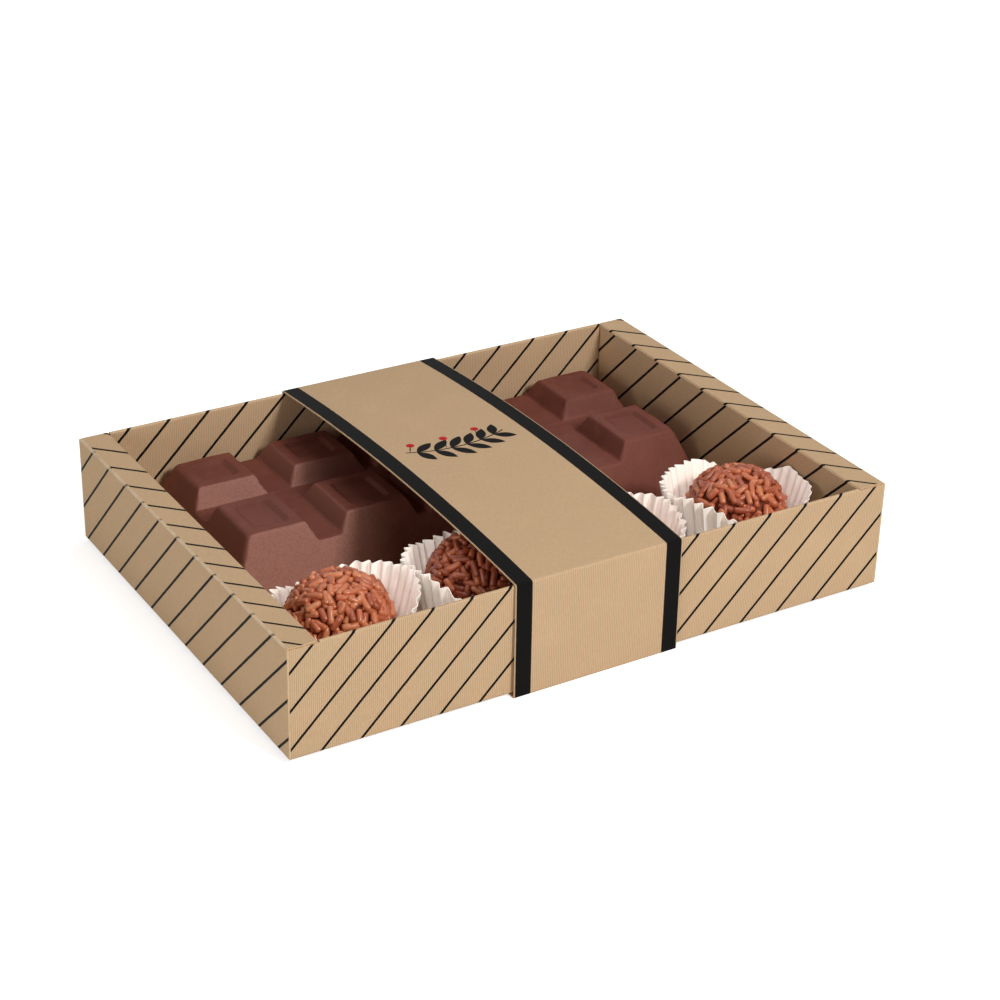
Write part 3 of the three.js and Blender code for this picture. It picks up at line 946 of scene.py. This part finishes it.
def pasteFinish(name):
    material, start, shader = newFinish(name, {"Specular IOR Level": 0.1})
    place = start.place()
    lumps = place.cloud(420, 4, 0.6)
    colour = lumps.rise(0.3, 0.7).blend(sweet["paste"], sweet["pasteLit"])
    feed(shader, Base_Color=colour, Roughness=lumps * 0.2 + 0.35, Normal=lumps.bump(0.3 * mm, 0.6))
    return material


def sprinkleFinish(name):
    material, start, shader = newFinish(name, {"Specular IOR Level": 0.5})
    place = start.place()
    tint = start.stored("tint")
    mottle = place.cloud(900, 3, 0.6)
    colour = tint.rise(0, 0.6).blend(sweet["rodDark"], sweet["rod"])
    colour = (tint.rise(0.6, 1) * 0.7).blend(colour, sweet["rodPale"])
    colour = (mottle.rise(0.5, 0.75) * 0.35).blend(colour, sweet["rodDark"])
    feed(shader, Base_Color=colour, Roughness=mottle * 0.25 + 0.18, Normal=mottle.bump(0.08 * mm, 0.4))
    return material


pasteMaterial = pasteFinish("sweet_paste")
sprinkleMaterial = sprinkleFinish("sprinkle_glaze")


def rodMesh(middle, along, outward, length, radius, bend, points, faces):  # one sprinkle with rounded ends
    sideways = along.cross(outward).normalized()
    upright = sideways.cross(along).normalized()
    sides = sweet["rodSides"]
    first = len(points)
    for share, width in sweet["rodProfile"]:
        hub = middle + along * (share * length) + upright * (bend * (0.25 - share * share) * length)
        if width == 0:
            points.append(hub)
            continue
        for k in range(sides):
            angle = 2 * math.pi * k / sides
            spoke = sideways * math.cos(angle) + upright * math.sin(angle)
            points.append(hub + spoke * (radius * width))
    rings = len(sweet["rodProfile"]) - 2
    last = first + 1 + rings * sides
    for k in range(sides):
        following = (k + 1) % sides
        faces.append((first, first + 1 + following, first + 1 + k))
        for ring in range(rings - 1):
            a = first + 1 + ring * sides
            faces.append((a + k, a + following, a + sides + following, a + sides + k))
        a = first + 1 + (rings - 1) * sides
        faces.append((last, a + k, a + following))


def swell(direction):  # how far the sweet's skin stands out there, as a share of its radius
    power = sweet["fullness"]
    flat = math.hypot(direction.x, direction.y)
    return (flat ** power + abs(direction.z) ** power) ** (-1 / power)


def pasteBall(number, middle, core, foot):
    name = f"sweet_{number}_paste"
    shape = bmesh.new()
    bmesh.ops.create_icosphere(shape, subdivisions=5, radius=core)
    for vert in shape.verts:
        spot = vert.co / (sweet["lumpReach"] * mm) + Vector((number, 0, 0))
        lump = sweet["lump"] * mm * noise.noise(spot)
        direction = vert.co.normalized()
        vert.co = direction * (core * swell(direction) + lump)
        vert.co.z = max(vert.co.z, foot - middle.z)
    bmesh.ops.translate(shape, verts=shape.verts, vec=middle)
    mesh = bpy.data.meshes.new(name)
    shape.to_mesh(mesh)
    shape.free()
    mesh.shade_smooth()
    return addPiece(name, mesh, [pasteMaterial])


def sprinkleCoat(number, middle, core, foot):
    name = f"sweet_{number}_sprinkles"
    draw = random.Random(sweet["seed"] + number)
    points = []
    faces = []
    tints = []
    placed = [np.zeros((0, 3, 3)) for layer in sweet["layers"]]
    for attempt in range(sweet["tries"]):
        up = Vector([draw.gauss(0, 1) for axis in range(3)]).normalized()
        length = draw.uniform(*sweet["rodLength"]) * mm
        thick = draw.uniform(*sweet["rodRadius"]) * mm
        around = Vector([draw.gauss(0, 1) for axis in range(3)])
        along = (around - up * around.dot(up)).normalized()
        tilt = draw.gauss(0, sweet["tilt"]) * (1 - (1 - sweet["topTilt"]) * max(up.z, 0))
        bend = draw.uniform(-sweet["sagSpread"], sweet["sagSpread"]) - sweet["rodSag"]
        # darker or paler rods for each sweet; on sweet 2 the darkness is painted shade from the band
        tint = draw.random() ** sweet["rodToneAndShade"][number]
        if up.z < sweet["bareFoot"]:
            continue
        for layer, level in enumerate(sweet["layers"]):
            lean = (along + up * tilt * (sweet["layerTilt"] + layer)).normalized()
            hub = up * (core * swell(up) + thick * level)
            marks = np.array([hub + lean * (length * share) for share in sweet["roomPlaces"]])
            gaps = np.linalg.norm(placed[layer][:, :, None] - marks[None, None], axis=-1)
            if gaps.size and gaps.min() < 2 * thick * sweet["room"]:
                continue
            placed[layer] = np.concatenate([placed[layer], marks[None]])
            before = len(points)
            rodMesh(middle + hub, lean, up, length, thick, bend, points, faces)
            tints.extend([tint] * (len(points) - before))
            break
    lowest = foot + sweet["footGap"] * mm
    for spot in points:
        spot.z = max(spot.z, lowest)
    mesh = newMesh(name, points, faces)
    mesh.attributes.new("tint", "FLOAT", "POINT").data.foreach_set("value", tints)
    mesh.shade_smooth()
    print("sweet", number, [len(layer) for layer in placed], "sprinkles")
    return addPiece(name, mesh, [sprinkleMaterial])


def sprinkledSweet(number, body):
    node = f"sweet_{number}"
    low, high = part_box(node)
    radius = (high.x - low.x) / 2
    middle = overMiddle(low, high, high.z - radius)
    core = radius * sweet["coreShare"]
    join(pasteBall(number, middle, core, low.z), body, "sprinkles", node)
    join(sprinkleCoat(number, middle, core, low.z), body, "sprinkles")


sweetBodies = {1: "ball_1", 2: "cup_2", 3: "cup_3", 4: "ball_4"}
for number, body in sweetBodies.items():
    sprinkledSweet(number, body)

# Paper cups: one thin pleated sheet each, opened unevenly by hand
cup = {
    "paper": 0.14 * mm,
    "pleats": 38,
    "across": 8,  # points over one pleat
    "rows": 14,
    "footRadius": 14.4 * mm,
    "bow": 0.6 * mm,
    "rimPleat": 1.15 * mm,
    "footPleat": 0.1 * mm,
    "rimJitter": 0.5 * mm,
    "pleatJitter": 0.6,  # share of it that differs from pleat to pleat
    "wander": 0.4 * mm,
    "depths": (0.7, 1.2),  # least and greatest depth of a pleat, as a share of the usual one
    "shift": 0.16,  # how far a pleat leans to either side
    "sharpness": 0.94,  # of the pleats' folds; 1 is a straight zigzag
    "footRings": (0.3, 0.6, 0.85),
    "seed": 70,
    "white": paint(254, 245, 235),
    "shade": paint(243, 227, 213),
    "grease": paint(242, 226, 211),
    # rim of each cup: direction in degrees, height, radius (mm) and share of the full pleat
    "rims": {
        1: [(0, 28, 22.3, 0.5), (20, 26.2, 22, 0.6), (40, 24.8, 21.7, 0.8), (60, 23.2, 21.4, 1),
            (80, 20, 20.7, 1), (103, 19.4, 20.6, 1), (122, 21.6, 21.2, 1), (150, 21.6, 21.4, 1),
            (200, 21.5, 21.3, 1), (270, 23.5, 21.3, 1), (300, 24.6, 22, 0.8), (330, 27.4, 22.5, 0.5)],
        2: [(0, 27, 21.8, 0.7), (40, 24, 21.3, 1), (77, 23, 21.3, 1), (110, 22.6, 21.4, 1),
            (135, 25, 21.5, 0.8), (155, 25.4, 21.6, 0.8), (178, 28, 21.9, 1), (197, 28.4, 21.4, 1.1),
            (212, 26, 21.3, 1.1), (228, 22.6, 21.2, 1), (300, 24, 21.3, 1)],
        3: [(0, 26.6, 22, 0.8), (20, 26.2, 21.9, 0.7), (40, 24.6, 21.5, 0.8), (80, 23.5, 21.4, 1),
            (130, 24, 21.3, 1), (180, 27, 21.9, 0.9), (215, 25, 21.3, 1), (290, 23.5, 21.4, 1),
            (330, 25, 22, 0.9)],
        4: [(0, 27.5, 22, 0.25), (20, 24.4, 21.6, 0.3), (40, 19.4, 20.7, 0.5), (58, 19, 20.5, 0.7),
            (72, 23.4, 21.3, 0.8), (84, 25.3, 21.6, 0.8), (120, 26, 21.7, 0.8), (145, 26.2, 21.7, 0.9),
            (178, 28, 22, 1.1), (198, 29.7, 21.6, 1.3), (220, 28.5, 21.4, 1.3), (232, 25.4, 21.3, 1.2),
            (245, 23.6, 21.3, 1), (285, 24, 22, 0.6), (305, 27, 23.6, 0.35), (325, 28, 23.2, 0.25),
            (345, 27.3, 22.2, 0.25)],
    },
}


def cupFinish(name):
    material, start, shader = newFinish(name, {"Specular IOR Level": 0.3, "Subsurface Weight": 0.1,
        "Subsurface Radius": (1, 0.9, 0.85), "Subsurface Scale": 0.5 * mm})
    place = start.place()
    fibres = place.cloud(700, 4, 0.65)
    clouds = place.cloud(120, 3)
    stain = place.cloud(70, 4, 0.6)
    colour = (clouds.rise(0.35, 0.7) * 0.5).blend(cup["white"], cup["shade"])
    colour = (fibres.rise(0.5, 0.75) * 0.3).blend(colour, cup["shade"])
    colour = (stain.rise(0.58, 0.75) * 0.4).blend(colour, cup["grease"])
    feed(shader, Base_Color=colour, Roughness=fibres * 0.2 + 0.5, Normal=fibres.bump(0.05 * mm, 0.5))
    return material


cupMaterial = cupFinish("cup_greaseproof")


def rimAt(number, angle):  # height, radius and pleat of a cup's rim in that direction
    stops = cup["rims"][number]
    degrees = math.degrees(angle) % 360
    for first, second in zip(stops, [*stops[1:], (stops[0][0] + 360, *stops[0][1:])]):
        if first[0] <= degrees <= second[0]:
            share = (degrees - first[0]) / (second[0] - first[0])
            ease = share * share * (3 - 2 * share)
            return [a + (b - a) * ease for a, b in zip(first[1:], second[1:])]


def pleatedCup(number, body):
    node = f"paper_cup_{number}"
    name = node + "_pleated"
    low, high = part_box(node)
    middle = overMiddle(low, high, 0)
    draw = random.Random(cup["seed"] + number)
    pleats = cup["pleats"]
    depths = [draw.uniform(*cup["depths"]) for pleat in range(pleats)]
    shifts = [draw.uniform(-cup["shift"], cup["shift"]) for pleat in range(pleats)]
    lifts = [draw.uniform(-1, 1) for pleat in range(pleats)]
    count = pleats * cup["across"]
    foot = cup["footRadius"]
    floorZ = low.z + cup["paper"] / 2
    points = [middle + Vector((0, 0, floorZ))]
    rings = []

    def footSpot(k, angle, share):  # radius and height
        return foot * share, floorZ

    def wallSpot(k, angle, share):
        rimHeight, rimRadius, pleatShare = rimAt(number, angle)
        pleat = k // cup["across"]
        step = (k % cup["across"]) / cup["across"]
        phase = step + shifts[pleat] * math.sin(math.pi * step)
        swing = math.asin(cup["sharpness"] * math.sin(2 * math.pi * phase)) / math.asin(cup["sharpness"])
        base = foot + (rimRadius * mm - foot) * share
        base += cup["bow"] * math.sin(math.pi * share)
        around = Vector((2 * math.cos(angle), 2 * math.sin(angle), share + 3 * number))
        wander = cup["wander"] * noise.noise(around) * share ** 1.5
        fullPleat = cup["rimPleat"] * pleatShare * depths[pleat]
        reach = base + wander + swing * (cup["footPleat"] + (fullPleat - cup["footPleat"]) * share ** 0.8)
        lift = lifts[pleat] * (1 - step) + lifts[(pleat + 1) % pleats] * step
        slow = noise.noise(Vector((1.5 * math.cos(angle), 1.5 * math.sin(angle), 9 * number)))
        jitter = (lift * cup["pleatJitter"] + slow) * cup["rimJitter"] * share ** 3
        return reach, floorZ + rimHeight * mm * share + jitter

    def addRing(share, spotAt):
        rings.append(len(points))
        for k in range(count):
            angle = 2 * math.pi * k / count
            reach, z = spotAt(k, angle, share)
            points.append(middle + Vector((reach * math.cos(angle), reach * math.sin(angle), z)))

    for share in cup["footRings"]:
        addRing(share, footSpot)
    for row in range(cup["rows"] + 1):
        addRing(row / cup["rows"], wallSpot)
    faces = []
    for k in range(count):
        following = (k + 1) % count
        faces.append((0, rings[0] + k, rings[0] + following))
        for a, b in zip(rings, rings[1:]):
            faces.append((a + k, b + k, b + following, a + following))
    piece = addPiece(name, newMesh(name, points, faces), [cupMaterial])
    solid = piece.modifiers.new("paper", "SOLIDIFY")
    solid.thickness = cup["paper"]
    solid.offset = 0
    settle(piece, 70)
    join(piece, body, "cup_paper", node)
    return name


cupPieces = [pleatedCup(number, f"cup_{number}") for number in cup["rims"]]
print("cups: pleated")

# White floor and soft studio light
studio = {
    "floorSize": 6.0,
    "floorWhite": 0.8,
    "floorGlow": 0.68,  # only for what looks at the floor, so that it comes out white
    "sky": 0.2,
    # name: place, width, watts, and the pieces that it lights (all if none)
    "lamps": {
        "key": ((0.3, -1.0, 0.85), 0.3, 10.2, ()),
        "left": ((-1.3, -0.45, 0.3), 0.6, 5.4, ()),
        "top": ((0.1, 0.1, 1.4), 0.6, 3.8, ()),
        "cupFill": ((-0.6, -0.75, 1.1), 1.0, 14.0, cupPieces),
    },
    "aim": (0, 0, 0.02),
}


def seenRays(start):  # 1 where the camera sees a surface, straight or by way of metal or glass
    kinds = ("Is Camera Ray", "Is Glossy Ray", "Is Transmission Ray")
    rays = [start.node("ShaderNodeLightPath", {}, {}, kind) for kind in kinds]
    return rays[0].most(rays[1]).most(rays[2])


def addFloor():
    half = studio["floorSize"] / 2
    corners = [(-half, -half, 0), (half, -half, 0), (half, half, 0), (-half, half, 0)]
    material = bpy.data.materials.new("studio_white")
    material.use_nodes = True
    material.node_tree.nodes.clear()
    start = Wire(material.node_tree)
    white = studio["floorWhite"]
    matte = start.node("ShaderNodeBsdfDiffuse", {}, {"Color": (white, white, white, 1)})
    glow = start.node("ShaderNodeEmission", {}, {"Strength": seenRays(start) * studio["floorGlow"]})
    both = start.node("ShaderNodeAddShader", {}, {0: matte, 1: glow})
    output = material.node_tree.nodes.new("ShaderNodeOutputMaterial")
    material.node_tree.links.new(both.socket, output.inputs["Surface"])
    floor = addPiece("studio_floor", newMesh("studio_floor", corners, [(0, 1, 2, 3)]), [material])


def addSky():
    world = bpy.data.worlds.new("studio")
    world.use_nodes = True
    scene.world = world
    sky = world.node_tree.nodes["Background"]
    sky.inputs["Color"].default_value = (1, 1, 1, 1)
    strength = seenRays(Wire(world.node_tree)) * (1 - studio["sky"]) + studio["sky"]
    world.node_tree.links.new(strength.socket, sky.inputs["Strength"])


def addLamp(name, spot, width, watts, lit):
    data = bpy.data.lights.new(name, "AREA")
    data.shape = "DISK"
    data.size = width
    data.energy = watts
    lamp = bpy.data.objects.new(name, data)
    lamp.location = spot
    lamp.rotation_euler = (Vector(studio["aim"]) - Vector(spot)).to_track_quat("-Z", "Y").to_euler()
    scene.collection.objects.link(lamp)
    if lit:
        receivers = bpy.data.collections.new(name + "Receivers")
        for pieceName in lit:
            receivers.objects.link(bpy.data.objects[pieceName])
        lamp.light_linking.receiver_collection = receivers


addFloor()
addSky()
for lampName, values in studio["lamps"].items():
    addLamp(lampName, *values)
print("studio: floor, sky and lamps set")
